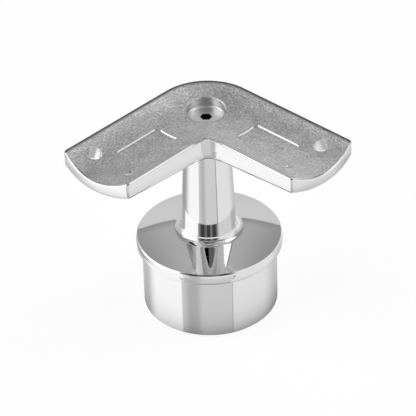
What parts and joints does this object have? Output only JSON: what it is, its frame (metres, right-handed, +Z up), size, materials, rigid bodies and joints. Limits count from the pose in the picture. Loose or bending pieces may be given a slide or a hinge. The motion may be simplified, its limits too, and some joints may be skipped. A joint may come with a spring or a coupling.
{
  "type": "handrail corner post top",
  "caption": "Polished steel cap that plugs into a round post and carries a cast L-shaped saddle, held by a socket screw, for handrail tubes that meet at a right angle.",
  "frame": {"origin": "on the post's axis, in the plane where the tube's end meets the collar", "axes": "+Z up along the post, +Y to the outer corner, the saddle's arms to (+X, -Y) and (-X, -Y)"},
  "size_m": [0.078, 0.0602, 0.0691],
  "materials": {
    "polished_steel": "mirror polished",
    "cast_steel": "blasted trough, polished sides",
    "screw_steel": "satin"
  },
  "bodies": {
    "root": {"post_cap": "polished_steel", "saddle": "cast_steel", "saddle_screw": "screw_steel"}
  },
  "joints": []
}
